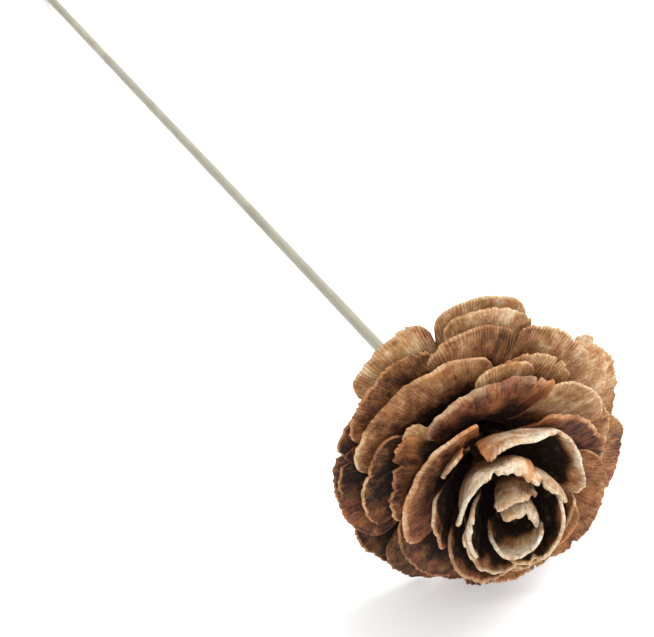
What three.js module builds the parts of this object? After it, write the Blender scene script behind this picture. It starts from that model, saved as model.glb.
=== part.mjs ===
// A cedar rose: the opened tip of a deodar cedar cone, its woody scales spread like rose petals,
// fixed on a thin straight wooden stick. It lies on a flat surface, propped on the head's lower
// scales and on the far end of the stick.
//
// Millimetres and degrees, +Z up. The stick runs back along +Y and the rose faces -Y.
// The head has a frame of its own: its Z axis runs along the cone's centre line toward the tip,
// azimuth 0 is +X and azimuth 90 is its upper side. Every scale follows a curved "leaf" line that
// starts on the rachis and ends on the head's dome. The lines nest inside each other, so a scale's
// ring, the radius at which its line meets the dome, says how far out in the rose the scale lies.
import * as THREE from 'three';

const dome = { height: 28, radius: 32, outerRing: 36 };
const rachis = { backEnd: -15, length: 31, baseRadius: 3.6, taper: 2.6, clearance: 0.75 };
const scaleBody = { baseThickness: 0.55, bladeThickness: 0.9, edgeShare: 0.6 };
const fan = { baseShare: 0.5, openedAt: 0.5, cornerPower: 3.2, corner: 0.23 };
const profile = { leave: 30, arrive: -22, budFrom: 0.3, budFull: 0.62, budLeave: -45, budArrive: 55 };
const bend = { sideways: -5.6, sidewaysAt: 22, sidewaysRun: 3, down: -5.2, downAt: 5, downRun: 4.5 };
const stick = { radius: 1.35, length: 310, socketEnd: -15.4, x: -1.5, y: -0.6, sides: 14 };
const pose = { tilt: 5.75, roll: 0 };
const grid = { across: 8, along: 5 };

// The scales from the outside of the rose to its heart. at: azimuth of the scale's middle,
// half: half of its angular width, ring: see above, reach: length along the leaf line (1 ends on
// the dome), lean: ring millimetres gained from one side to the middle, corner: how far the rim
// falls off toward its corners.
const scales = [
  { at: -6, half: 23, ring: 36.0, reach: 1.06 },
  { at: 312, half: 27, ring: 35.0, reach: 1.06 },
  { at: 19, half: 16, ring: 33.6 },
  { at: 128, half: 20, ring: 34.0 },
  { at: 330, half: 28, ring: 32.2, reach: 1.14 },
  { at: 231, half: 24, ring: 34.3 },
  { at: 85, half: 22, ring: 33.7 },
  { at: 178, half: 27, ring: 33.1, reach: 0.99 },
  { at: 287, half: 28, ring: 33.6, reach: 1.01 },
  { at: 191, half: 26, ring: 32.1 },
  { at: 83, half: 22, ring: 32.3 },
  { at: 138, half: 26, ring: 31.9 },
  { at: 45, half: 25, ring: 31.2 },
  { at: 95, half: 23, ring: 30.6 },
  { at: -12, half: 30, ring: 30.5 },
  { at: 252, half: 30, ring: 32.0, reach: 1.05 },
  { at: 132, half: 44, ring: 29.6, lean: -1.4, corner: 0.2 },
  { at: 322, half: 30, ring: 29.5, reach: 1.02 },
  { at: 176, half: 28, ring: 28.9, lean: -0.9 },
  { at: 62, half: 22, ring: 27.9 },
  { at: 146, half: 9, ring: 26.9 },
  { at: 30, half: 26, ring: 27.0, lean: 1.8 },
  { at: 224, half: 30, ring: 26.6 },
  { at: 84, half: 18, ring: 26.4 },
  { at: 292, half: 34, ring: 26.0, reach: 1.05, lean: -1 },
  { at: 168, half: 26, ring: 25.8 },
  { at: 98, half: 41, ring: 25.0, corner: 0.18 },
  { at: 325, half: 34, ring: 24.0, reach: 1.06 },
  { at: 257, half: 14, ring: 23.8, corner: 0.36, reach: 1.04 },
  { at: 160, half: 50, ring: 22.9, lean: -1.8, corner: 0.2 },
  { at: 26, half: 36, ring: 22.8, lean: 3.2 },
  { at: -12, half: 26, ring: 21.6, reach: 1.04 },
  { at: 258, half: 31, ring: 21.7 },
  { at: 139, half: 11, ring: 19.3 },
  { at: 301, half: 37, ring: 18.8 },
  { at: 188, half: 20, ring: 19.1 },
  { at: 235, half: 34, ring: 16.8 },
  { at: 52, half: 66, ring: 17.2, lean: 0.8 },
  { at: 310, half: 44, ring: 14.0 },
  { at: 124, half: 54, ring: 12.4, lean: -1.6 },
  { at: 232, half: 44, ring: 11.8 },
  { at: 184, half: 34, ring: 10.0 },
  { at: 42, half: 46, ring: 9.9, lean: 1.3 },
  { at: 320, half: 56, ring: 9.2 },
  { at: 92, half: 44, ring: 6.6 },
  { at: 262, half: 70, ring: 5.4 },
  { at: 60, half: 80, ring: 2.9 },
];

const radians = THREE.MathUtils.degToRad;
const smoothstep = THREE.MathUtils.smoothstep;

// How far the cone's crooked centre line has moved sideways at a height above the outer ring.
function centreLine(height) {
  const x = bend.sideways / (1 + Math.exp((bend.sidewaysAt - height) / bend.sidewaysRun));
  const y = bend.down / (1 + Math.exp((bend.downAt - height) / bend.downRun));
  return [x, y];
}

function rachisRadius(level) {
  const inner = THREE.MathUtils.clamp(level, 0, 0.98);
  return rachis.baseRadius - rachis.taper * inner * inner;
}

// A point of the leaf line of one ring, as radius and height, with t from 0 on the rachis to 1 on
// the dome. Outer lines rise and then flatten like an open petal, inner ones curl over the heart.
function leafLine(ring, t) {
  const level = 1 - ring / dome.outerRing;
  const inner = THREE.MathUtils.clamp(level, 0, 0.98);
  const startRadius = rachisRadius(level);
  const startHeight = rachis.backEnd + rachis.length * level;
  const endHeight = dome.height * (1 - (ring / dome.radius) ** 2);
  const run = ring - startRadius;
  const rise = endHeight - startHeight;
  const chord = Math.atan2(rise, run);
  const bud = smoothstep(inner, profile.budFrom, profile.budFull);
  const leave = chord + radians(profile.leave + profile.budLeave * bud);
  const arrive = chord + radians(profile.arrive + profile.budArrive * bud);
  const handle = 0.36 * Math.hypot(run, rise);
  const s = 1 - t;
  const weights = [s ** 3, 3 * s * s * t, 3 * s * t * t, t ** 3];
  const radii = [
    startRadius,
    startRadius + handle * Math.cos(leave),
    ring - handle * Math.cos(arrive),
    ring,
  ];
  const heights = [
    startHeight,
    startHeight + handle * Math.sin(leave),
    endHeight - handle * Math.sin(arrive),
    endHeight,
  ];
  const mix = (values) => values.reduce((sum, value, i) => sum + value * weights[i], 0);
  return [mix(radii), mix(heights)];
}

// A point of a scale's middle surface: u runs from -1 to 1 across it, t from its base to its rim.
function surfacePoint(scale, u, t) {
  const { at, half, ring, reach = 1, lean = 0, corner = fan.corner } = scale;
  const round = (1 - Math.abs(u) ** fan.cornerPower) ** (1 / fan.cornerPower);
  const along = t * reach * (1 - corner + corner * round);
  const [radius, height] = leafLine(ring + lean * u, along);
  const opened = Math.min(along / fan.openedAt, 1) ** 0.8;
  const spread = half * (fan.baseShare + (1 - fan.baseShare) * opened);
  const azimuth = radians(at - u * spread);
  const [shiftX, shiftY] = centreLine(height);
  const x = radius * Math.cos(azimuth) + shiftX;
  const y = radius * Math.sin(azimuth) + shiftY;
  return new THREE.Vector3(x, y, height);
}

function surfaceNormal(scale, u, t) {
  const step = 0.01;
  const uLow = Math.max(u - step, -0.999);
  const uHigh = Math.min(u + step, 0.999);
  const tLow = Math.max(t - step, 0);
  const across = surfacePoint(scale, uHigh, t).sub(surfacePoint(scale, uLow, t));
  const along = surfacePoint(scale, u, t + step).sub(surfacePoint(scale, u, tLow));
  return along.cross(across).normalize();
}

// One scale: the middle surface thickened both ways, closed round its edge.
function scaleGeometry(scale) {
  const columns = grid.across + 1;
  const rows = grid.along + 1;
  const count = columns * rows;
  const positions = [];
  for (const side of [1, -1]) {
    for (let j = 0; j < rows; j += 1) {
      for (let i = 0; i < columns; i += 1) {
        const t = j / grid.along;
        const u = Math.sin(((i / grid.across) * 2 - 1) * Math.PI / 2);
        const isEdge = i === 0 || i === grid.across || j === grid.along;
        const full = THREE.MathUtils.lerp(scaleBody.baseThickness, scaleBody.bladeThickness, t);
        const thickness = full * (isEdge ? scaleBody.edgeShare : 1);
        const normal = surfaceNormal(scale, u, t);
        positions.push(...surfacePoint(scale, u, t).addScaledVector(normal, side * thickness / 2));
      }
    }
  }

  const index = [];
  const quad = (a, b, c, d) => index.push(a, b, c, a, c, d);
  for (let j = 0; j < grid.along; j += 1) {
    for (let i = 0; i < grid.across; i += 1) {
      const a = j * columns + i;
      quad(a, a + columns, a + columns + 1, a + 1);
      quad(a + count, a + count + 1, a + count + columns + 1, a + count + columns);
    }
  }
  const border = [];
  for (let i = 0; i < grid.across; i += 1) border.push(i);
  for (let j = 0; j < grid.along; j += 1) border.push(j * columns + grid.across);
  for (let i = grid.across; i > 0; i -= 1) border.push(grid.along * columns + i);
  for (let j = grid.along; j > 0; j -= 1) border.push(j * columns);
  border.forEach((here, k) => {
    const next = border[(k + 1) % border.length];
    quad(here, next, next + count, here + count);
  });

  const geometry = new THREE.BufferGeometry();
  geometry.setAttribute('position', new THREE.Float32BufferAttribute(positions, 3));
  geometry.setIndex(index);
  geometry.computeVertexNormals();
  return geometry;
}

// The cone's woody core: a tapering spindle whose rings follow the crooked centre line.
function rachisGeometry() {
  const steps = 12;
  const profile = [new THREE.Vector2(0, rachis.backEnd)];
  for (let k = 0; k <= steps; k += 1) {
    const level = k / steps;
    const radius = Math.max(rachisRadius(level) - rachis.clearance, 0.25);
    profile.push(new THREE.Vector2(radius, rachis.backEnd + rachis.length * level));
  }
  profile.push(new THREE.Vector2(0, rachis.backEnd + rachis.length));
  const geometry = new THREE.LatheGeometry(profile, 12);
  geometry.rotateX(Math.PI / 2);
  const place = geometry.attributes.position;
  for (let k = 0; k < place.count; k += 1) {
    const [x, y] = centreLine(place.getZ(k));
    place.setXYZ(k, place.getX(k) + x, place.getY(k) + y, place.getZ(k));
  }
  geometry.computeVertexNormals();
  return geometry;
}

function stickGeometry() {
  const geometry = new THREE.CylinderGeometry(stick.radius, stick.radius, stick.length, stick.sides);
  geometry.rotateX(Math.PI / 2);
  geometry.translate(stick.x, stick.y, stick.socketEnd - stick.length / 2);
  return geometry;
}

const outerWood = new THREE.Color('#8a5f3c');
const heartWood = new THREE.Color('#b9a78e');

const head = new THREE.Group();
scales.forEach((scale, k) => {
  const inner = 1 - scale.ring / dome.outerRing;
  const color = outerWood.clone().lerp(heartWood, smoothstep(inner, 0.4, 0.75));
  const material = new THREE.MeshStandardMaterial({ color, roughness: 0.8, metalness: 0 });
  const mesh = new THREE.Mesh(scaleGeometry(scale), material);
  mesh.name = `scale_${String(k + 1).padStart(2, '0')}`;
  head.add(mesh);
});

const core = new THREE.Mesh(
  rachisGeometry(),
  new THREE.MeshStandardMaterial({ color: '#5d3f2a', roughness: 0.9, metalness: 0 }),
);
core.name = 'rachis';
head.add(core);

const stem = new THREE.Mesh(
  stickGeometry(),
  new THREE.MeshStandardMaterial({ color: '#aeab98', roughness: 0.75, metalness: 0 }),
);
stem.name = 'stem';
head.add(stem);

const roll = new THREE.Group();
roll.rotation.z = radians(pose.roll);
roll.add(head);
const lying = new THREE.Group();
lying.rotation.x = radians(90 - pose.tilt);
lying.add(roll);

// The rose stands on the surface z = 0 with the middle of its bounding box over the origin.
const cedarRose = new THREE.Group();
cedarRose.add(lying);
const box = new THREE.Box3().setFromObject(cedarRose, true);
const middle = box.getCenter(new THREE.Vector3());
lying.position.set(-middle.x, -middle.y, -box.min.z);

export default cedarRose;
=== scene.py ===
import math
import bpy
import numpy as np
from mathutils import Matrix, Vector


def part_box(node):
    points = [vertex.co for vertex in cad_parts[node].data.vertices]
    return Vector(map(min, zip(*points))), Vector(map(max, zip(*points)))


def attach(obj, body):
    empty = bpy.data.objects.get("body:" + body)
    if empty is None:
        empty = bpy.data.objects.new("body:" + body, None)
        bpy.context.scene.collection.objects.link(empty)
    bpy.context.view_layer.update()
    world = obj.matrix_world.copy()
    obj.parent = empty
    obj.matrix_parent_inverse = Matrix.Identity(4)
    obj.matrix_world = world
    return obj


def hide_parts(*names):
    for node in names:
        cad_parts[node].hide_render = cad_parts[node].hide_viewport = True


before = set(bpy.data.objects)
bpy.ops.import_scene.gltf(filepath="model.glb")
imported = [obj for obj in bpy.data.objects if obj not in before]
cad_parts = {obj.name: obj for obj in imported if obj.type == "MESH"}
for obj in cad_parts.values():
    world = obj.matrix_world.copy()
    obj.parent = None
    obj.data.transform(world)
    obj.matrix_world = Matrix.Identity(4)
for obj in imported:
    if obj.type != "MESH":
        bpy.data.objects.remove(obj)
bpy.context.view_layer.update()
print("frame loaded,", len(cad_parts), "nodes")

mm = 0.001
scene = bpy.context.scene
scene.view_settings.view_transform = "Standard"  # keeps the white surroundings white

# the rose's own frame: z along the cone's centre line to its tip, y to its upper side, x to the right
pose = {
    "tilt": 5.75,  # degrees that the stick slopes down to its far end
    "stickMiddle": (-1.5, -0.6, -170.4),  # mm, the stick's middle in the rose's own frame
}
slope = math.radians(pose["tilt"])
axisX = np.array([1.0, 0.0, 0.0])
axisY = np.array([0.0, math.sin(slope), math.cos(slope)])
axisZ = np.array([0.0, -math.cos(slope), math.sin(slope)])
stickLow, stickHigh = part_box("stem")
stickCentre = np.array((stickLow + stickHigh) / 2) / mm
roseOrigin = stickCentre - sum(v * a for v, a in zip(pose["stickMiddle"], (axisX, axisY, axisZ)))


def toWorld(points):
    # rose frame in mm to scene metres
    return (points @ np.stack([axisX, axisY, axisZ]) + roseOrigin) * mm


def smoothStep(low, high, value):
    k = np.clip((value - low) / (high - low), 0, 1)
    return k * k * (3 - 2 * k)


def uneven(points, size, seed, octaves=3):
    # smooth random unevenness from about -1 to 1 with bumps of the given size, the same every run
    lattice = np.random.default_rng(seed).uniform(-1, 1, (32, 32, 32))
    total = 0
    weight = 0
    for octave in range(octaves):
        share = 0.5 ** octave
        place = points * (2 ** octave / size) + 7.3 * octave
        cell = np.floor(place).astype(int)
        part = place - cell
        part = part * part * (3 - 2 * part)
        value = 0
        for corner in range(8):
            step = np.array([corner & 1, corner >> 1 & 1, corner >> 2 & 1])
            near = np.where(step, part, 1 - part).prod(axis=-1)
            i, j, k = np.moveaxis((cell + step) % 32, -1, 0)
            value = value + near * lattice[i, j, k]
        total = total + share * value
        weight += share
    return total / weight * 1.6


def flat(a, b=0.0, c=0.0):
    # coordinates of a pattern that lies on the scale itself
    return np.stack(np.broadcast_arrays(a, b, c), -1)


# the shape that all scales share, the same rule as the CAD solids, in mm and degrees
dome = {"height": 28, "radius": 32, "outerRing": 36}
heartRing = 20.5  # mm, the scales that end nearer than this form the closed heart
core = {"backEnd": -15, "length": 31, "radius": 3.6, "taper": 2.6}
fan = {"baseShare": 0.5, "openedAt": 0.5, "openedPower": 0.8, "cornerPower": 3.2, "corner": 0.23}
profile = {
    "handle": 0.36,  # share of the straight distance that the line keeps its direction at each end
    "leave": 30,
    "arrive": -22,
    "budFrom": 0.3,
    "budFull": 0.62,
    "budLeave": -45,
    "budArrive": 55,
}
bend = {"sideways": -5.6, "sidewaysAt": 22, "sidewaysRun": 3, "down": -5.2, "downAt": 5, "downRun": 4.5}
highest = 0.98  # level of the uppermost place where a scale can leave the core


def centreLine(height):
    x = bend["sideways"] / (1 + np.exp((bend["sidewaysAt"] - height) / bend["sidewaysRun"]))
    y = bend["down"] / (1 + np.exp((bend["downAt"] - height) / bend["downRun"]))
    return x, y


def coreRadius(level):
    return core["radius"] - core["taper"] * np.clip(level, 0, highest) ** 2


def leafLine(ring, t):
    # from the core at t = 0 to the dome at t = 1, as radius and height
    level = 1 - ring / dome["outerRing"]
    inner = np.clip(level, 0, highest)
    startRadius = coreRadius(level)
    startHeight = core["backEnd"] + core["length"] * level
    endHeight = dome["height"] * (1 - (ring / dome["radius"]) ** 2)
    run = ring - startRadius
    rise = endHeight - startHeight
    chord = np.arctan2(rise, run)
    bud = smoothStep(profile["budFrom"], profile["budFull"], inner)
    leave = chord + np.radians(profile["leave"] + profile["budLeave"] * bud)
    arrive = chord + np.radians(profile["arrive"] + profile["budArrive"] * bud)
    handle = profile["handle"] * np.hypot(run, rise)
    s = 1 - t
    a, b, c, d = s ** 3, 3 * s * s * t, 3 * s * t * t, t ** 3
    radius = (a * startRadius + b * (startRadius + handle * np.cos(leave))
              + c * (ring - handle * np.cos(arrive)) + d * ring)
    height = (a * startHeight + b * (startHeight + handle * np.sin(leave))
              + c * (endHeight - handle * np.sin(arrive)) + d * endHeight)
    return radius, height


# each scale from the outside of the rose to its heart, the same figures as the CAD solids
# at: azimuth of its middle, half: half its angular width, ring: how far out it ends, in mm,
# reach: its length, 1 ends on the dome, lean: ring mm from the middle to one side, corner: rounding
scaleShapes = [
    {"at": -6, "half": 23, "ring": 36.0, "reach": 1.06},
    {"at": 312, "half": 27, "ring": 35.0, "reach": 1.06},
    {"at": 19, "half": 16, "ring": 33.6},
    {"at": 128, "half": 20, "ring": 34.0},
    {"at": 330, "half": 28, "ring": 32.2, "reach": 1.14},
    {"at": 231, "half": 24, "ring": 34.3},
    {"at": 85, "half": 22, "ring": 33.7},
    {"at": 178, "half": 27, "ring": 33.1, "reach": 0.99},
    {"at": 287, "half": 28, "ring": 33.6, "reach": 1.01},
    {"at": 191, "half": 26, "ring": 32.1},
    {"at": 83, "half": 22, "ring": 32.3},
    {"at": 138, "half": 26, "ring": 31.9},
    {"at": 45, "half": 25, "ring": 31.2},
    {"at": 95, "half": 23, "ring": 30.6},
    {"at": -12, "half": 30, "ring": 30.5},
    {"at": 252, "half": 30, "ring": 32.0, "reach": 1.05},
    {"at": 132, "half": 44, "ring": 29.6, "lean": -1.4, "corner": 0.2},
    {"at": 322, "half": 30, "ring": 29.5, "reach": 1.02},
    {"at": 176, "half": 28, "ring": 28.9, "lean": -0.9},
    {"at": 62, "half": 22, "ring": 27.9},
    {"at": 146, "half": 9, "ring": 26.9},
    {"at": 30, "half": 26, "ring": 27.0, "lean": 1.8},
    {"at": 224, "half": 30, "ring": 26.6},
    {"at": 84, "half": 18, "ring": 26.4},
    {"at": 292, "half": 34, "ring": 26.0, "reach": 1.05, "lean": -1},
    {"at": 168, "half": 26, "ring": 25.8},
    {"at": 98, "half": 41, "ring": 25.0, "corner": 0.18},
    {"at": 325, "half": 34, "ring": 24.0, "reach": 1.06},
    {"at": 257, "half": 14, "ring": 23.8, "reach": 1.04, "corner": 0.36},
    {"at": 160, "half": 50, "ring": 22.9, "lean": -1.8, "corner": 0.2},
    {"at": 26, "half": 36, "ring": 22.8, "lean": 3.2},
    {"at": -12, "half": 26, "ring": 21.6, "reach": 1.04},
    {"at": 258, "half": 31, "ring": 21.7},
    {"at": 139, "half": 11, "ring": 19.3},
    {"at": 301, "half": 37, "ring": 18.8},
    {"at": 188, "half": 20, "ring": 19.1},
    {"at": 235, "half": 34, "ring": 16.8},
    {"at": 52, "half": 66, "ring": 17.2, "lean": 0.8},
    {"at": 310, "half": 44, "ring": 14.0},
    {"at": 124, "half": 54, "ring": 12.4, "lean": -1.6},
    {"at": 232, "half": 44, "ring": 11.8},
    {"at": 184, "half": 34, "ring": 10.0},
    {"at": 42, "half": 46, "ring": 9.9, "lean": 1.3},
    {"at": 320, "half": 56, "ring": 9.2},
    {"at": 92, "half": 44, "ring": 6.6},
    {"at": 262, "half": 70, "ring": 5.4},
    {"at": 60, "half": 80, "ring": 2.9},
]

# how each scale looks; what isn't named here has the usual value
# light: 0 dark brown to 1 pale tan, the scale's own tone with painted light and shade in it,
# paler toward the top of the rose and darker toward its lower left, red: 0 ochre to 1 reddish,
# grey: how weathered, orange: resin stains, band: width of the pale rim in mm, narrower to one end with
# taper,
# worn: how pale the rim is, real wear with a painted highlight,
# ribbing, waves, crown and ragged: times the usual, frayed: the torn end, 1 right or -1 left
scaleFinish = [
    {"light": 0.8, "red": 0.3, "rimWearAndHighlight": 0.9, "ragged": 1.8},
    {"light": 0.4, "red": 0.5},
    {"light": 1.0, "red": 0.3, "band": 0.8, "rimWearAndHighlight": 0.9, "ragged": 2.0},
    {"light": 0.95, "red": 0.1, "ribbing": 1.1, "crown": 1.5},
    {"light": 0.5, "red": 0.5, "ragged": 1.3},
    {"light": 0.15, "red": 0.3},
    {"light": 0.95, "red": 0.25, "ribbing": 0.9, "crown": 1.5, "ragged": 0.6},
    {"light": 0.2, "red": 0.5, "ribbing": 0.3},
    {"light": 0.4, "red": 0.3},
    {"light": 0.3, "red": 0.7, "ribbing": 0.3},
    {"light": 0.9, "red": 0.2, "ribbing": 1.0, "crown": 1.5, "ragged": 1.4},
    {"light": 0.5, "red": 0.3, "ragged": 1.6},
    {"light": 0.95, "red": 0.15, "band": 0.5, "rimWearAndHighlight": 1.0, "ribbing": 1.0, "crown": 1.5},
    {"light": 0.68, "red": 0.3, "ribbing": 1.1, "crown": 1.5, "ragged": 0.6},
    {"light": 0.6, "red": 0.4},
    {"light": 0.3, "red": 0.4},
    {"light": 0.62, "red": 0.45, "band": 0.85, "rimWearAndHighlight": 1.0, "ribbing": 0.4, "crown": 0.3,
     "ragged": 0.7, "waves": 0.7},
    {"light": 0.4, "red": 0.5, "rimWearAndHighlight": 1.0},
    {"light": 0.25, "red": 0.6, "rimWearAndHighlight": 1.0, "ribbing": 0.35},
    {"light": 0.72, "red": 0.15, "band": 2.6, "rimWearAndHighlight": 1.0, "ribbing": 1.0, "ragged": 1.3, "frayed": -1},
    {"light": 0.9, "red": 0.0, "orange": 0.9, "ragged": 2},
    {"light": 0.95, "red": 0.3, "rimWearAndHighlight": 1.0, "ribbing": 0.9, "crown": 1.5, "ragged": 0.6},
    {"light": 0.32, "red": 0.7},
    {"light": 0.8, "red": 0.3, "ragged": 0.6},
    {"light": 0.5, "red": 0.2},
    {"light": 0.4, "red": 0.4, "rimWearAndHighlight": 0.9, "ragged": 1.8, "frayed": 1},
    {"light": 0.4, "red": 0.8, "grey": 0.35, "band": 1.5, "rimWearAndHighlight": 0.9, "ribbing": 0.35, "crown": 0.3,
     "ragged": 1.4, "frayed": 1},
    {"light": 0.5, "red": 0.4},
    {"light": 0.15, "red": 0.5, "ragged": 1.6},
    {"light": 0.5, "red": 0.6, "band": 1.2, "rimWearAndHighlight": 1.0, "ribbing": 0.3, "crown": 0.3,
     "ragged": 0.7, "frayed": 1},
    {"light": 0.35, "red": 0.8, "band": 0.8, "rimWearAndHighlight": 1.0, "ribbing": 0.4, "crown": 0.3, "frayed": -1},
    {"light": 0.6, "red": 0.5},
    {"light": 0.5, "red": 0.3},
    {"light": 0.6, "grey": 0.5, "frayed": 1},
    {"light": 0.6, "red": 0.2},
    {"light": 0.5, "grey": 0.5},
    {"light": 0.4, "grey": 0.2},
    {"light": 0.8, "grey": 0.9, "orange": 0.6, "band": 2.4, "taper": 0.75, "rimWearAndHighlight": 0.9, "waves": 1.5,
     "ragged": 1.0, "frayed": -1},
    {"light": 0.6, "red": 0.3, "grey": 0.4, "orange": 0.3, "ragged": 1.3},
    {"light": 0.8, "red": 0.3, "grey": 1.0, "orange": 0.2, "waves": 1.4, "ragged": 1.5, "frayed": 1},
    {"light": 0.7, "red": 0.3, "grey": 0.6, "orange": 0.3, "band": 0.7, "rimWearAndHighlight": 0.9, "waves": 1.5,
     "ragged": 1.6},
    {"light": 0.75, "red": 0.3, "grey": 1.0, "orange": 0.3, "band": 3.2, "waves": 1.5, "ragged": 1.3},
    {"light": 0.8, "red": 0.3, "grey": 0.6, "orange": 0.8, "ragged": 1.3, "frayed": -1},
    {"light": 0.7, "red": 0.3, "grey": 0.6, "orange": 0.3, "band": 0.7, "rimWearAndHighlight": 0.9, "waves": 1.6,
     "ragged": 1.7},
    {"light": 0.75, "red": 0.3, "grey": 0.6, "orange": 0.5, "band": 1.0, "waves": 1.6, "ragged": 1.3},
    {"light": 0.75, "red": 0.3, "grey": 1.0, "orange": 0.3, "band": 3.8, "waves": 1.6, "ragged": 1.6},
    {"light": 0.7, "red": 0.3, "grey": 0.9, "orange": 0.3, "band": 1.6, "waves": 1.6, "ragged": 1.3},
]
scales = [shape | finish for shape, finish in zip(scaleShapes, scaleFinish)]

# all in mm
scaleLook = {
    "spacing": 0.27,  # between mesh points along the rim
    "rowSpacing": 0.75,  # between rows of them
    "baseThickness": 0.6,
    "bladeThickness": 0.8,
    "rimRadius": 0.45,  # the rim is rounded over this width
    "waves": 0.8,  # slow unevenness of the blade
    "waveSize": 9,
    "roll": 0.3,  # how far the rim of an open scale rolls outward
    "rollWidth": 5,
    "crown": 0.7,  # how far the middle of a scale stands above its sides
    "ribs": 0.06,  # height of the fan-shaped striations
    "ribSpacing": 0.8,  # at the rim
    "ribWander": 7,  # size of the places where the ribs bend
    "crumbs": 0.05,  # height of the crumbly grain
    "crumbSize": 0.9,
    "teeth": 0.18,  # fine raggedness of the rim
    "toothSize": 0.6,
    "chips": 0.7,  # size of the pieces missing from the rim
    "chipSize": 3.5,
    "wander": 0.5,  # slow unevenness of the rim
    "wanderSize": 11,
    "tears": 1,  # on each scale, a number and not a length
    "tearWidth": (0.3, 1.0),
    "tearDepth": (0.4, 1.8),
    "lowest": 0.02,  # the lowest rims rest on the surface
}


def frayedShare(shape, u):
    # 1 at the torn end of a scale, 0 on the rest of it
    return smoothStep(0.45, 1, shape["frayed"] * u) if "frayed" in shape else 0 * u


def rimShare(shape, u, wide, length, seed):
    # how much of its full length a scale keeps at each place across, after wear and tears
    look = scaleLook
    corner = shape.get("corner", fan["corner"])
    power = fan["cornerPower"]
    roundness = (1 - np.minimum(np.abs(u), 1) ** power) ** (1 / power)
    ragged = shape.get("ragged", 1) * (1 + 2.5 * frayedShare(shape, u))
    across = flat(u * wide / 2)
    lost = look["teeth"] * ragged * uneven(across, look["toothSize"], seed + 1, 2)
    chips = np.maximum(uneven(across, look["chipSize"], seed + 2, 3) - 0.15, 0)
    lost = lost + look["chips"] * ragged * chips
    lost = lost + look["wander"] * ragged * uneven(across, look["wanderSize"], seed + 3, 1)
    dice = np.random.default_rng(seed + 4)
    for tear in range(look["tears"]):
        place = dice.uniform(-0.85, 0.85) * wide / 2
        width = dice.uniform(*look["tearWidth"])
        depth = dice.uniform(*look["tearDepth"]) * np.minimum(ragged, 2) ** 1.5
        lost = lost + depth * np.maximum(1 - np.abs(across[..., 0] - place) / width, 0) ** 0.7
    return (1 - corner + corner * roundness) * (1 - lost / length)


def bladePoints(shape, u, t, rim):
    # points of the middle surface, u from -1 to 1 across and t from 0 at the base to 1 at the rim
    along = t * shape.get("reach", 1) * rim
    radius, height = leafLine(shape["ring"] + shape.get("lean", 0) * u, along)
    opened = np.minimum(along / fan["openedAt"], 1) ** fan["openedPower"]
    spread = shape["half"] * (fan["baseShare"] + (1 - fan["baseShare"]) * opened)
    azimuth = np.radians(shape["at"] - u * spread)
    shiftX, shiftY = centreLine(height)
    return np.stack([radius * np.cos(azimuth) + shiftX, radius * np.sin(azimuth) + shiftY, height], -1)


def gridNormals(points):
    # toward the inner, upper face of the scale
    normals = np.cross(np.gradient(points, axis=1), np.gradient(points, axis=0))
    return normals / np.maximum(np.linalg.norm(normals, axis=-1, keepdims=True), 1e-9)


def sumSteps(points, axis):
    # distance travelled along one direction of the grid, in mm
    steps = np.linalg.norm(np.diff(points, axis=axis), axis=-1)
    start = np.zeros_like(steps[:1] if axis == 0 else steps[:, :1])
    return np.concatenate([start, np.cumsum(steps, axis=axis)], axis=axis)


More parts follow.
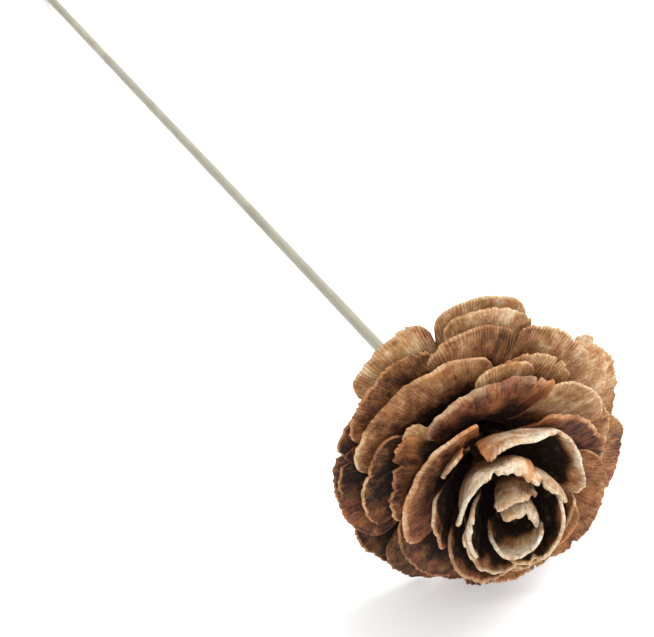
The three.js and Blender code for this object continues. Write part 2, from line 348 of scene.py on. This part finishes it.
def makeScale(name, shape, seed):
    look = scaleLook
    wide = 2 * math.radians(shape["half"]) * shape["ring"]
    radius, height = leafLine(shape["ring"], np.linspace(0, 1, 30))
    length = float(np.hypot(np.diff(radius), np.diff(height)).sum())
    columns = int(np.clip(wide / look["spacing"], 40, 170))
    rows = int(np.clip(length / look["rowSpacing"], 26, 46))
    v, w = np.meshgrid(np.linspace(-1, 1, columns + 1), np.linspace(0, 1, rows + 1))
    u = 0.6 * v + 0.4 * np.sin(v * math.pi / 2)
    t = 1 - (1 - w) ** 1.5
    middle = bladePoints(shape, u, t, rimShare(shape, u, wide, length, seed))

    fromBase = sumSteps(middle, 0)
    toRim = fromBase[-1] - fromBase
    fromLeft = sumSteps(middle, 1)
    toSide = np.minimum(fromLeft, fromLeft[:, -1:] - fromLeft)
    edgeGap = np.minimum(toRim, toSide)
    fanPlace = flat(u * wide / 2, fromBase)

    isOpen = shape["ring"] > heartRing
    lift = look["waves"] * shape.get("waves", 1) * uneven(fanPlace, look["waveSize"], seed + 5, 2)
    lift = lift * smoothStep(0.25, 0.8, t)
    if isOpen:
        lift = lift - look["roll"] * smoothStep(look["rollWidth"], 0, toRim) ** 2
        lift = lift + look["crown"] * shape.get("crown", 1) * (0.5 - u ** 2) * smoothStep(0.3, 0.9, t)
    middle = middle + gridNormals(middle) * lift[..., None]
    normals = gridNormals(middle)

    phase = u * wide / 2 / look["ribSpacing"] + 0.9 * uneven(fanPlace, look["ribWander"], seed + 6, 3)
    ribbing = shape.get("ribbing", 0.45 if isOpen else 0.1) * (0.6 + 0.7 * uneven(fanPlace, 5, seed + 7, 2))
    ribbing = np.clip(ribbing, 0, 1.2) * smoothStep(0.3, 0.55, t)
    ribs = np.sin(2 * math.pi * phase) * ribbing * smoothStep(0, 0.8, edgeGap)
    crumbs = look["crumbs"] * uneven(middle, look["crumbSize"], seed + 8, 2) * smoothStep(0, 0.5, edgeGap)
    thick = look["baseThickness"] + (look["bladeThickness"] - look["baseThickness"]) * t
    k = np.clip(edgeGap / look["rimRadius"], 0, 1)
    thick = thick * np.sqrt(1 - (1 - k) ** 2)
    upper = middle + normals * (thick / 2 + look["ribs"] * ribs + crumbs)[..., None]
    lower = middle - normals * (thick / 2 + look["ribs"] * ribs - crumbs)[..., None]

    tone = scaleTone(shape, middle, fanPlace, toRim, frayedShare(shape, u), seed)
    values = {key: np.concatenate([data[0].ravel(), data[1].ravel()]) for key, data in tone.items()}
    values["fanPhase"] = np.tile(phase.ravel(), 2)
    values["ribbing"] = np.tile(ribbing.ravel(), 2)
    values["fromBase"] = np.tile(fromBase.ravel(), 2)

    count = (rows + 1) * (columns + 1)
    front = np.arange(count).reshape(rows + 1, columns + 1)
    back = front + count
    # both faces share the points of the rim and of the sides
    back[-1, :] = front[-1, :]
    back[:, 0] = front[:, 0]
    back[:, -1] = front[:, -1]
    quads = [front[:-1, :-1], front[:-1, 1:], front[1:, 1:], front[1:, :-1]]
    backQuads = [back[:-1, 1:], back[:-1, :-1], back[1:, :-1], back[1:, 1:]]
    foot = [back[0, :-1], back[0, 1:], front[0, 1:], front[0, :-1]]
    faces = [np.stack([p.ravel() for p in group], -1) for group in (quads, backQuads, foot)]
    points = toWorld(np.concatenate([upper.reshape(-1, 3), lower.reshape(-1, 3)]))
    points[:, 2] = np.maximum(points[:, 2], look["lowest"] * mm)
    return makeMesh(name, points, np.concatenate(faces), values)


# how the colour of a scale's wood changes over it
toneLook = {
    "patches": 0.18,  # uneven darkness in blotches
    "patchSize": 6,  # mm
    "mottle": 0.18,  # and in spots
    "mottleSize": 1.6,
    "streaks": 0.06,  # and in streaks away from the base
    "streakSize": 1.5,
    "paintedShade": 0.8,  # painted shade, darkening deep inside the rose
    "darkFrom": 1.0,  # mm below the rim where it starts
    "darkFull": 14.0,
    "lightDeeper": 4.0,  # mm deeper on the lightest scales
    "outsidePaintedShade": 0.25,  # the same painted shade on the undersides
    "outsideEven": 0.4,  # how much less the undersides differ from each other
    "heartDarkFrom": 0.6,  # the same on the scales of the heart
    "heartDarkFull": 4.5,
    "palest": 0.92,  # tone of the pale rim on the upper face, real wear with a painted highlight
    "palestOutside": 0.85,
    "stainSize": 4.5,  # mm
    "tornStain": 0.7,  # how orange a torn end is
}


def scaleTone(shape, middle, fanPlace, toRim, frayed, seed):
    # tone: 0 nearly black to 1 cream; redness, weathering and orange stains from 0 to 1; two faces each
    look = toneLook
    patches = uneven(middle, look["patchSize"], seed + 9, 3)
    mottle = uneven(middle, look["mottleSize"], seed + 10, 3)
    streaks = uneven(fanPlace * np.array([1.0, 0.25, 1.0]), look["streakSize"], seed + 11, 2)
    # each scale's own tone has painted light and shade in it: paler toward the top of the rose, darker
    # toward its lower left
    light = shape.get("light", 0.5)
    base = 0.09 + 0.75 * light
    tone = base + look["patches"] * patches + look["mottle"] * mottle + look["streaks"] * streaks
    depth = toRim + 2.5 * uneven(fanPlace, 5, seed + 12, 2)
    kind = "dark" if shape["ring"] > heartRing else "heartDark"
    across = fanPlace[..., 0] / max(abs(fanPlace[0, 0, 0]), 1)
    pale = shape.get("band", 0.5) * (1 - shape.get("taper", 0) * smoothStep(-0.2, 1, across))
    deeper = pale * 0.8 + look["lightDeeper"] * light * (kind == "dark")
    # painted shade: the upper faces darken with depth below the rim, starting deeper on pale rims and light
    # scales
    shadow = smoothStep(look[kind + "From"] + deeper, look[kind + "Full"] + deeper, depth)
    inside = tone - look["paintedShade"] * shadow
    evened = tone - look["outsideEven"] * (light - 0.55) if kind == "dark" else tone
    # painted shade on the undersides too, further below the rim
    outside = evened - look["outsidePaintedShade"] * smoothStep(9, 24, depth)
    # pale rim: real wear with a painted highlight along the edge
    rimWearAndHighlight = smoothStep(pale * 1.3, pale * 0.6, toRim + 0.45 * pale * mottle)
    rimWearAndHighlight = rimWearAndHighlight * shape.get("rimWearAndHighlight", 0.6) * np.clip(0.7 + 0.7 * uneven(fanPlace, 7, seed + 13, 2), 0, 1)
    inside = inside + rimWearAndHighlight * (look["palest"] - inside)
    outside = outside + rimWearAndHighlight * (look["palestOutside"] - outside)
    grey = shape.get("grey", 0)
    weatherIn = grey * smoothStep(pale * 1.4, pale * 0.6, toRim + 1.3 * mottle)
    weatherOut = grey * smoothStep(13, 7, depth + 2 * mottle)
    stains = smoothStep(0.3, 0.75, uneven(middle, look["stainSize"], seed + 14, 3))
    orange = np.maximum(stains * shape.get("orange", 0.5), look["tornStain"] * frayed)
    weatherIn, weatherOut = weatherIn * (1 - frayed), weatherOut * (1 - frayed)
    redness = np.clip(shape.get("red", 0.4) + 0.5 * uneven(middle, look["patchSize"], seed + 15, 3), 0, 1)
    return {
        "tone": (np.clip(inside, 0, 1), np.clip(outside, 0, 1)),
        "redness": (redness, redness),
        "weathered": (np.clip(weatherIn, 0, 1), np.clip(weatherOut, 0, 1)),
        "orange": (orange, orange),
    }


def makeMesh(name, points, faces, values):
    # leaves out points that no face uses and faces folded to nothing
    used, place = np.unique(faces, return_inverse=True)
    quads = [list(dict.fromkeys(face)) for face in place.reshape(faces.shape).tolist()]
    quads = [face for face in quads if len(face) > 2]
    mesh = bpy.data.meshes.new(name)
    mesh.from_pydata(points[used].tolist(), [], quads)
    for key, data in values.items():
        mesh.attributes.new(key, "FLOAT", "POINT").data.foreach_set("value", data[used].astype(np.float32))
    mesh.shade_smooth()
    mesh.update()
    piece = bpy.data.objects.new(name, mesh)
    scene.collection.objects.link(piece)
    return piece


def linear(hexColour):
    # sRGB hex to linear colour
    channels = [int(hexColour[i:i + 2], 16) / 255 for i in (1, 3, 5)]
    return [c / 12.92 if c <= 0.04045 else ((c + 0.055) / 1.055) ** 2.4 for c in channels] + [1.0]


def addNode(tree, kind, inputs=None, **fields):
    # adds a node with its own fields set; inputs are numbers, colours, or the nodes to link from
    node = tree.nodes.new("ShaderNode" + kind)
    for field, value in fields.items():
        setattr(node, field, value)
    for socket, value in (inputs or {}).items():
        if isinstance(value, bpy.types.Node):
            value = next(output for output in value.outputs if output.enabled)
        if isinstance(value, bpy.types.NodeSocket):
            tree.links.new(value, node.inputs[socket])
        else:
            node.inputs[socket].default_value = value
    return node


def newMaterial(name):
    material = bpy.data.materials.new(name)
    material.use_nodes = True
    material.node_tree.nodes.clear()
    return material, material.node_tree


def setRamp(node, stops):
    # stops: position and hex colour, from dark to light
    elements = node.color_ramp.elements
    while len(elements) < len(stops):
        elements.new(1.0)
    for element, (position, colour) in zip(elements, stops):
        element.position = position
        element.color = linear(colour)


# cedar cone scale: thin dry wood, dull, with fine ribs spreading like a fan; reads as a woody petal
coneWood = {
    "ochre": [(0, "#1C120C"), (0.2, "#3F2819"), (0.42, "#7A5233"),
              (0.62, "#A97A4C"), (0.8, "#C79D6C"), (1, "#E6CDA6")],
    "reddish": [(0, "#1C100B"), (0.2, "#432318"), (0.42, "#7C472E"),
                (0.62, "#A66A48"), (0.8, "#C48F69"), (1, "#E5C4A1")],
    "weathered": [(0, "#4A3F32"), (0.4, "#94836B"), (0.7, "#CFBD9F"), (1, "#F4EAD6")],
    "orange": "#BF7434",  # resin stains
    "olive": "#7D7038",  # dull greenish bloom
    "lineShade": 0.26,  # how much darker the lines between two ribs are
    "grain": 0.3,
    "streak": 0.16,  # how short the streaks along the ribs are, 0 is endless
    "crumbs": 1500,  # grain of about 0.5 mm
    "spots": 420,  # and of about 1.2 mm
    "roughness": 0.72,
    "bump": 0.3,  # mm
}


def makeConeWood(name, look):
    material, tree = newMaterial(name)
    tone = addNode(tree, "Attribute", attribute_name="tone").outputs["Fac"]
    redness = addNode(tree, "Attribute", attribute_name="redness").outputs["Fac"]
    weathered = addNode(tree, "Attribute", attribute_name="weathered").outputs["Fac"]
    orange = addNode(tree, "Attribute", attribute_name="orange").outputs["Fac"]
    phase = addNode(tree, "Attribute", attribute_name="fanPhase").outputs["Fac"]
    ribbing = addNode(tree, "Attribute", attribute_name="ribbing").outputs["Fac"]
    fromBase = addNode(tree, "Attribute", attribute_name="fromBase").outputs["Fac"]
    place = addNode(tree, "TexCoord").outputs["Object"]

    # dark lines between the ribs, broken along their length
    turns = addNode(tree, "Math", {0: phase, 1: 2 * math.pi}, operation="MULTIPLY")
    wave = addNode(tree, "Math", {0: turns}, operation="SINE")
    line = addNode(tree, "MapRange", {"Value": wave, "From Min": 0.1, "From Max": -0.95})
    outward = addNode(tree, "Math", {0: fromBase, 1: look["streak"]}, operation="MULTIPLY")
    fanSpace = addNode(tree, "CombineXYZ", {"X": phase, "Y": outward})
    streaks = addNode(tree, "TexNoise", {"Vector": fanSpace, "Scale": 1.7, "Detail": 3, "Roughness": 0.6})
    broken = addNode(tree, "MapRange", {"Value": streaks.outputs["Fac"], "From Min": 0.3, "From Max": 0.62})
    lines = addNode(tree, "Math", {0: line, 1: broken}, operation="MULTIPLY")
    lines = addNode(tree, "Math", {0: lines, 1: ribbing}, operation="MULTIPLY")

    # fine crumbly grain
    crumbs = addNode(tree, "TexNoise", {
        "Vector": place, "Scale": look["crumbs"], "Detail": 4, "Roughness": 0.7})
    spots = addNode(tree, "TexNoise", {
        "Vector": place, "Scale": look["spots"], "Detail": 3, "Roughness": 0.6})

    shade = addNode(tree, "Math", {0: lines, 1: -look["lineShade"], 2: tone}, operation="MULTIPLY_ADD")
    grain = addNode(tree, "Math", {0: crumbs.outputs["Fac"], 1: streaks.outputs["Fac"]}, operation="ADD")
    grain = addNode(tree, "Math", {0: grain, 1: 1.0}, operation="SUBTRACT")
    shade = addNode(tree, "Math", {0: grain, 1: look["grain"] * 2, 2: shade}, operation="MULTIPLY_ADD")

    ochre = addNode(tree, "ValToRGB", {"Fac": shade})
    setRamp(ochre, look["ochre"])
    reddish = addNode(tree, "ValToRGB", {"Fac": shade})
    setRamp(reddish, look["reddish"])
    wood = addNode(tree, "Mix", {0: redness, 6: ochre.outputs[0], 7: reddish.outputs[0]}, data_type="RGBA")
    bloom = addNode(tree, "MapRange", {
        "Value": spots.outputs["Fac"], "From Min": 0.56, "From Max": 0.72, "To Max": 0.4})
    wood = addNode(tree, "Mix", {0: bloom, 6: wood, 7: linear(look["olive"])}, data_type="RGBA")
    stain = addNode(tree, "Math", {0: orange, 1: shade}, operation="MULTIPLY")
    wood = addNode(tree, "Mix", {0: stain, 6: wood, 7: linear(look["orange"])}, data_type="RGBA")
    bleached = addNode(tree, "ValToRGB", {"Fac": shade})
    setRamp(bleached, look["weathered"])
    flaked = addNode(tree, "MapRange", {
        "Value": spots.outputs["Fac"], "From Min": 0.4, "From Max": 0.52, "To Min": 0.15})
    silver = addNode(tree, "Math", {0: weathered, 1: flaked}, operation="MULTIPLY")
    wood = addNode(tree, "Mix", {0: silver, 6: wood, 7: bleached.outputs[0]}, data_type="RGBA")

    relief = addNode(tree, "Math", {0: lines, 1: -0.5, 2: crumbs.outputs["Fac"]}, operation="MULTIPLY_ADD")
    relief = addNode(tree, "Math", {0: spots.outputs["Fac"], 1: 0.6, 2: relief}, operation="MULTIPLY_ADD")
    bump = addNode(tree, "Bump", {"Height": relief, "Strength": 0.7, "Distance": look["bump"] * mm})
    shader = addNode(tree, "BsdfPrincipled", {
        "Base Color": wood, "Roughness": look["roughness"], "IOR": 1.5,
        "Specular IOR Level": 0.3, "Normal": bump})
    addNode(tree, "OutputMaterial", {"Surface": shader})
    return material


scaleWood = makeConeWood("dry cedar cone scale", coneWood)
faceCount = 0
for number, shape in enumerate(scales, 1):
    node = f"scale_{number:02d}"
    piece = makeScale("cone_" + node, shape, number * 17)
    piece.data.materials.append(scaleWood)
    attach(piece, "root")
    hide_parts(node)
    faceCount = faceCount + len(piece.data.polygons)
print("scales made,", faceCount, "faces")

# the stick: a plain thin dowel
stickLook = {
    "radius": 1.35,
    "length": 310.0,
    "start": -15.4,  # mm along the rose's centre line
    "x": -1.5,
    "y": -0.6,
    "dents": 0.03,  # mm
    "sides": 40,
    "steps": 150,
}


def makeStick(look):
    turn = np.linspace(0, 2 * math.pi, look["sides"], endpoint=False)
    angle, distance = np.meshgrid(turn, np.linspace(0, look["length"], look["steps"] + 1))
    dents = look["dents"] * uneven(np.stack([np.cos(angle), np.sin(angle), distance / 12], -1), 1, 5, 2)
    toEnd = np.minimum(distance, look["length"] - distance)
    radius = (look["radius"] - look["dents"] + dents) * np.minimum(1, toEnd / 0.3 + 0.85)
    points = np.stack([radius * np.cos(angle) + look["x"], radius * np.sin(angle) + look["y"],
                       look["start"] - distance], -1)
    here = np.arange(angle.size).reshape(angle.shape)
    beside = np.roll(here, -1, axis=1)
    sides = np.stack([p.ravel() for p in (here[:-1], here[1:], beside[1:], beside[:-1])], -1)
    mesh = bpy.data.meshes.new("stick")
    ends = [here[0].tolist(), here[-1][::-1].tolist()]
    mesh.from_pydata(toWorld(points.reshape(-1, 3)).tolist(), [], sides.tolist() + ends)
    mesh.shade_smooth()
    piece = bpy.data.objects.new("stick", mesh)
    scene.collection.objects.link(piece)
    return piece


# pale dowel, grey with a greenish cast, dull with faint grain along it
dowelWood = {
    "stops": [(0.3, "#949080"), (0.7, "#B0AC9B")],
    "grain": 1400,  # across the stick, about 0.7 mm
    "stretch": 0.05,
    "blotches": 90,  # about 11 mm
    "roughness": 0.65,
}


def makeDowelWood(name, look):
    material, tree = newMaterial(name)
    place = addNode(tree, "TexCoord").outputs["Object"]
    drawnOut = addNode(tree, "Mapping", {"Vector": place, "Scale": (1.0, look["stretch"], 1.0)})
    grain = addNode(tree, "TexNoise", {"Vector": drawnOut, "Scale": look["grain"], "Detail": 3})
    blotches = addNode(tree, "TexNoise", {"Vector": place, "Scale": look["blotches"], "Detail": 3})
    both = addNode(tree, "Math", {0: grain.outputs["Fac"], 1: blotches.outputs["Fac"]}, operation="ADD")
    half = addNode(tree, "Math", {0: both, 1: 0.5}, operation="MULTIPLY")
    colour = addNode(tree, "ValToRGB", {"Fac": half})
    setRamp(colour, look["stops"])
    bump = addNode(tree, "Bump", {"Height": grain.outputs["Fac"], "Strength": 0.4, "Distance": 0.1 * mm})
    shader = addNode(tree, "BsdfPrincipled", {
        "Base Color": colour.outputs[0], "Roughness": look["roughness"], "IOR": 1.5, "Normal": bump})
    addNode(tree, "OutputMaterial", {"Surface": shader})
    return material


stick = makeStick(stickLook)
stick.data.materials.append(makeDowelWood("pale dowel", dowelWood))
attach(stick, "root")
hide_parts("stem")

print("stick made")

# core of the cone: rough, nearly black brown wood, the dark that shows between the scales
coreWood = {
    "stops": [(0.35, "#1E130C"), (0.65, "#4A301E")],
    "grain": 700,  # about 1.5 mm
    "roughness": 0.85,
    "bump": 0.3,  # mm
}


def makeCoreWood(name, look):
    material, tree = newMaterial(name)
    place = addNode(tree, "TexCoord").outputs["Object"]
    grain = addNode(tree, "TexNoise", {"Vector": place, "Scale": look["grain"], "Detail": 4})
    colour = addNode(tree, "ValToRGB", {"Fac": grain.outputs["Fac"]})
    setRamp(colour, look["stops"])
    bump = addNode(tree, "Bump", {
        "Height": grain.outputs["Fac"], "Strength": 0.8, "Distance": look["bump"] * mm})
    shader = addNode(tree, "BsdfPrincipled", {
        "Base Color": colour.outputs[0], "Roughness": look["roughness"], "IOR": 1.5, "Normal": bump})
    addNode(tree, "OutputMaterial", {"Surface": shader})
    return material


rachisWood = makeCoreWood("rough cedar cone core", coreWood)
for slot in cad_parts["rachis"].material_slots:
    slot.material = rachisWood
print("core finished")

# pale floor that glows faintly of itself, painted light that keeps the shadows on it light and lights the
# rose a little from below
floorLook = {
    "half": 3.0,  # half its side in metres
    "colour": "#FAFAFA",
    "roughness": 0.9,
    "paintedGlow": 0.3,
}
half = floorLook["half"]
floorMesh = bpy.data.meshes.new("floor")
floorCorners = [(-half, -half, 0), (half, -half, 0), (half, half, 0), (-half, half, 0)]
floorMesh.from_pydata(floorCorners, [], [(0, 1, 2, 3)])
floor = bpy.data.objects.new("floor", floorMesh)
scene.collection.objects.link(floor)
floorMaterial, floorTree = newMaterial("white floor with painted glow")
# its emission is painted light: the floor glows though it is no lamp
floorShader = addNode(floorTree, "BsdfPrincipled", {
    "Base Color": linear(floorLook["colour"]), "Roughness": floorLook["roughness"],
    "Emission Color": linear(floorLook["colour"]), "Emission Strength": floorLook["paintedGlow"]})
addNode(floorTree, "OutputMaterial", {"Surface": floorShader})
floorMesh.materials.append(floorMaterial)

lights = {
    # direction from the rose, metres away, size in metres, watts
    "key": {"direction": (0.7, 0.15, 1.0), "distance": 3.0, "size": 2.3, "power": 94},
    "fill": {"direction": (-0.7, -0.8, 0.9), "distance": 3.0, "size": 2.4, "power": 14},
    "sky": 0.72,
}
world = bpy.data.worlds.new("studio")
scene.world = world
world.use_nodes = True
world.node_tree.nodes["Background"].inputs[0].default_value = (1, 1, 1, 1)
world.node_tree.nodes["Background"].inputs[1].default_value = lights["sky"]
headCentre = Vector(toWorld(np.zeros(3)))
for name in ("key", "fill"):
    look = lights[name]
    lamp = bpy.data.lights.new(name, "AREA")
    lamp.size = look["size"]
    lamp.energy = look["power"]
    lampObject = bpy.data.objects.new(name, lamp)
    direction = Vector(look["direction"]).normalized()
    lampObject.location = headCentre + direction * look["distance"]
    lampObject.rotation_euler = direction.to_track_quat("Z", "Y").to_euler()
    scene.collection.objects.link(lampObject)

view = {
    "azimuth": 23.35,  # degrees that the camera stands left of straight ahead
    "elevation": 34.06,  # degrees that it looks down
    "distance": 425.0,  # mm from the camera to the rose, along its line of sight
    "roseRight": 32.1,  # mm that the rose lies right of the line of sight
    "roseBelow": 26.0,
    "lens": 110.1,
}
azimuth, elevation = math.radians(view["azimuth"]), math.radians(view["elevation"])
level = math.cos(elevation)
forward = Vector((math.sin(azimuth) * level, math.cos(azimuth) * level, -math.sin(elevation)))
right = Vector((math.cos(azimuth), -math.sin(azimuth), 0))
upward = right.cross(forward)
camera = bpy.data.cameras.new("camera")
camera.lens = view["lens"]
camera.sensor_width = 36
camera.clip_end = 20
cameraObject = bpy.data.objects.new("camera", camera)
offset = forward * view["distance"] + right * view["roseRight"] - upward * view["roseBelow"]
cameraObject.location = headCentre - offset * mm
cameraObject.rotation_euler = (-forward).to_track_quat("Z", "Y").to_euler()
scene.collection.objects.link(cameraObject)
scene.camera = cameraObject
print("lights and camera set")
